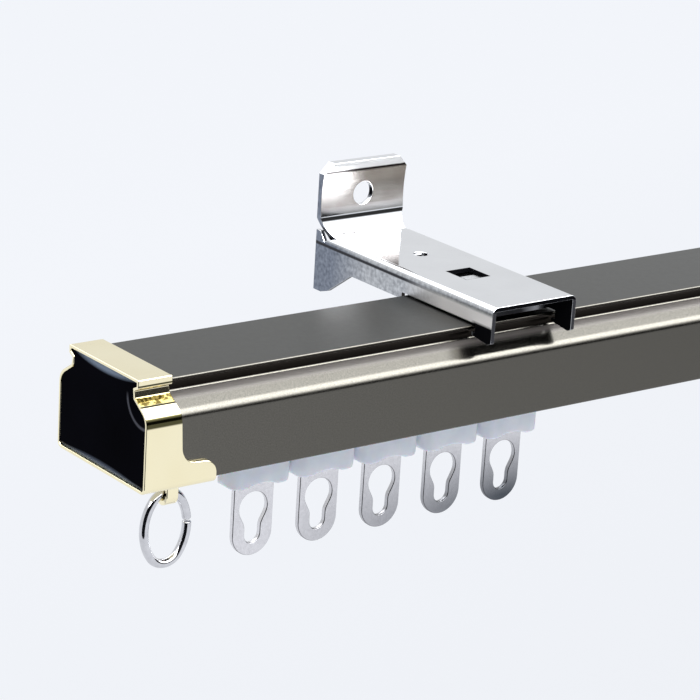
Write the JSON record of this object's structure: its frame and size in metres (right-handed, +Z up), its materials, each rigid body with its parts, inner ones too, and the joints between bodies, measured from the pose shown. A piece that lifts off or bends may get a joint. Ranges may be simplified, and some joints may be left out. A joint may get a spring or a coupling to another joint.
{
  "type": "curtain track",
  "caption": "Wall-mounted aluminium curtain track with gold end caps, end rings, chrome lock brackets and rolling runners with keyhole tabs.",
  "frame": {"origin": "on the wall's face, midway between the two brackets' screw holes", "axes": "+X along the rail towards its right end, +Y into the wall, +Z up"},
  "size_m": [0.4028, 0.0579, 0.0635],
  "materials": {
    "rail": "satin grey anodised",
    "cap": "polished pale gold plate",
    "panel": "high gloss black",
    "ring": "bright plated",
    "bracket": "bright plated stamped steel",
    "lock": "bright plated stamped steel",
    "spring": "spring steel wire",
    "runner": "milky natural nylon",
    "wheels": "white acetal",
    "tab": "nickel plated"
  },
  "bodies": {
    "track": {"rail": "rail", "end_cap_left": "cap", "cap_panel_left": "panel", "bracket_left": "bracket", "lock_spring_left": "spring", "end_cap_right": "cap", "cap_panel_right": "panel", "bracket_right": "bracket", "lock_spring_right": "spring"},
    "runner_1": {"runner_body_1": "runner", "runner_tab_1": "tab"},
    "wheels_1": {"runner_wheels_1": "wheels"},
    "runner_2": {"runner_body_2": "runner", "runner_tab_2": "tab"},
    "wheels_2": {"runner_wheels_2": "wheels"},
    "runner_3": {"runner_body_3": "runner", "runner_tab_3": "tab"},
    "wheels_3": {"runner_wheels_3": "wheels"},
    "runner_4": {"runner_body_4": "runner", "runner_tab_4": "tab"},
    "wheels_4": {"runner_wheels_4": "wheels"},
    "runner_5": {"runner_body_5": "runner", "runner_tab_5": "tab"},
    "wheels_5": {"runner_wheels_5": "wheels"},
    "ring_left": {"end_ring_left": "ring"},
    "lock_left": {"lock_slide_left": "lock"},
    "ring_right": {"end_ring_right": "ring"},
    "lock_right": {"lock_slide_right": "lock"}
  },
  "joints": [
    {"name": "runner_1_slide", "type": "slide", "parent": "track", "child": "runner_1", "axis": [1, 0, 0], "range_m": [0, 0.0555]},
    {"name": "wheels_1_turn", "type": "hinge", "parent": "runner_1", "child": "wheels_1", "pos_m": [-0.1666, -0.0416, -0.02565], "axis": [0, 1, 0], "range_deg": [0, 607]},
    {"name": "runner_2_slide", "type": "slide", "parent": "track", "child": "runner_2", "axis": [1, 0, 0], "range_m": [0, 0.1105]},
    {"name": "wheels_2_turn", "type": "hinge", "parent": "runner_2", "child": "wheels_2", "pos_m": [-0.1511, -0.0416, -0.02565], "axis": [0, 1, 0], "range_deg": [0, 1213]},
    {"name": "runner_3_slide", "type": "slide", "parent": "track", "child": "runner_3", "axis": [1, 0, 0], "range_m": [0, 0.1655]},
    {"name": "wheels_3_turn", "type": "hinge", "parent": "runner_3", "child": "wheels_3", "pos_m": [-0.1356, -0.0416, -0.02565], "axis": [0, 1, 0], "range_deg": [0, 1819]},
    {"name": "runner_4_slide", "type": "slide", "parent": "track", "child": "runner_4", "axis": [1, 0, 0], "range_m": [0, 0.2205]},
    {"name": "wheels_4_turn", "type": "hinge", "parent": "runner_4", "child": "wheels_4", "pos_m": [-0.1201, -0.0416, -0.02565], "axis": [0, 1, 0], "range_deg": [0, 2425]},
    {"name": "runner_5_slide", "type": "slide", "parent": "track", "child": "runner_5", "axis": [1, 0, 0], "range_m": [0, 0.275]},
    {"name": "wheels_5_turn", "type": "hinge", "parent": "runner_5", "child": "wheels_5", "pos_m": [-0.1046, -0.0416, -0.02565], "axis": [0, 1, 0], "range_deg": [0, 3031]},
    {"name": "ring_left_swing", "type": "hinge", "parent": "track", "child": "ring_left", "pos_m": [-0.1864, -0.0416, -0.03975], "axis": [1, 0, 0], "range_deg": [-50, 50]},
    {"name": "lock_left_slide", "type": "slide", "parent": "track", "child": "lock_left", "axis": [0, 1, 0], "range_m": [0, 0.0024], "stiffness_N_per_m": 400, "springref_m": -0.002, "deforming": ["lock_spring_left"]},
    {"name": "ring_right_swing", "type": "hinge", "parent": "track", "child": "ring_right", "pos_m": [0.1864, -0.0416, -0.03975], "axis": [1, 0, 0], "range_deg": [-50, 50]},
    {"name": "lock_right_slide", "type": "slide", "parent": "track", "child": "lock_right", "axis": [0, 1, 0], "range_m": [0, 0.0024], "stiffness_N_per_m": 400, "springref_m": -0.002, "deforming": ["lock_spring_right"]}
  ],
  "couplings": [
    {"joint": "runner_1_slide", "follows": "runner_5_slide", "ratio": 0.2},
    {"joint": "wheels_1_turn", "follows": "runner_5_slide", "rad_per_m": 38.462},
    {"joint": "runner_2_slide", "follows": "runner_5_slide", "ratio": 0.4},
    {"joint": "wheels_2_turn", "follows": "runner_5_slide", "rad_per_m": 76.923},
    {"joint": "runner_3_slide", "follows": "runner_5_slide", "ratio": 0.6},
    {"joint": "wheels_3_turn", "follows": "runner_5_slide", "rad_per_m": 115.38},
    {"joint": "runner_4_slide", "follows": "runner_5_slide", "ratio": 0.8},
    {"joint": "wheels_4_turn", "follows": "runner_5_slide", "rad_per_m": 153.85},
    {"joint": "wheels_5_turn", "follows": "runner_5_slide", "rad_per_m": 192.31}
  ]
}
